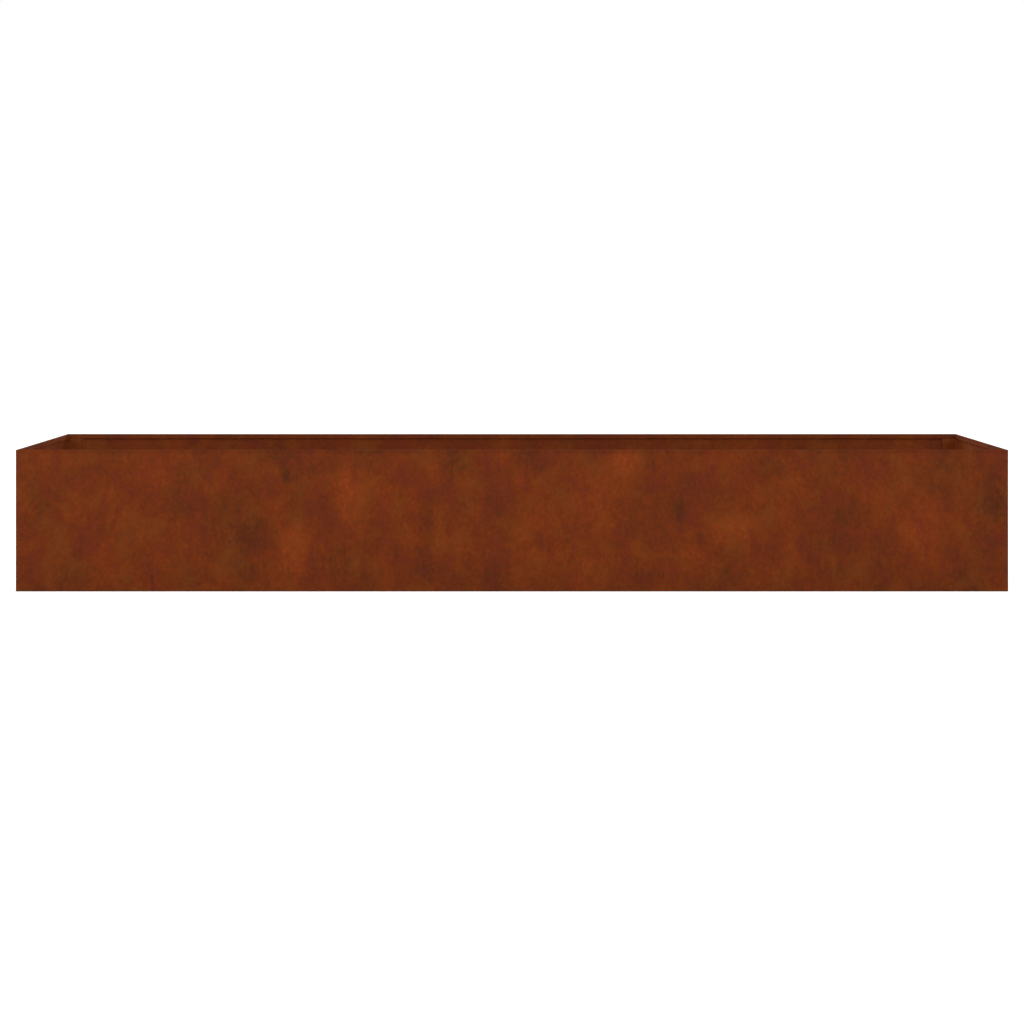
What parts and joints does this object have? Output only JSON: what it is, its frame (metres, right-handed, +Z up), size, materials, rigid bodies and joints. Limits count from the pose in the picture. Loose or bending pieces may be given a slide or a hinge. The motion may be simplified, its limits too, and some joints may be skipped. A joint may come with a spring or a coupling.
{
  "type": "planter box",
  "caption": "Long, low, open-topped planter box of folded weathering steel sheet, with drained floor panels, upright ribs and tie bars bolted inside and anchor holes in its base.",
  "frame": {"origin": "middle of the footprint, on the ground", "axes": "+X along the box, the front faces -Y, +Z up"},
  "size_m": [2.8, 0.4, 0.4],
  "materials": {
    "weathering_steel_sheet": "matte",
    "weathering_steel_floor": "matte",
    "weathering_steel_bars": "matte",
    "stainless_fasteners": "satin"
  },
  "bodies": {
    "root": {"front_wall": "weathering_steel_sheet", "back_wall": "weathering_steel_sheet", "left_end_wall": "weathering_steel_sheet", "right_end_wall": "weathering_steel_sheet", "floor_panel_1": "weathering_steel_floor", "floor_panel_2": "weathering_steel_floor", "floor_panel_3": "weathering_steel_floor", "floor_panel_4": "weathering_steel_floor", "front_rib_1": "weathering_steel_bars", "back_rib_1": "weathering_steel_bars", "tie_bar_1": "weathering_steel_bars", "front_rib_2": "weathering_steel_bars", "back_rib_2": "weathering_steel_bars", "tie_bar_2": "weathering_steel_bars", "front_rib_3": "weathering_steel_bars", "back_rib_3": "weathering_steel_bars", "tie_bar_3": "weathering_steel_bars", "corner_studs": "stainless_fasteners", "corner_washers": "stainless_fasteners", "corner_nuts": "stainless_fasteners", "rib_studs": "stainless_fasteners", "rib_washers": "stainless_fasteners", "rib_nuts": "stainless_fasteners", "tie_bolts": "stainless_fasteners", "tie_bolt_washers": "stainless_fasteners", "tie_bolt_nuts": "stainless_fasteners"}
  },
  "joints": []
}
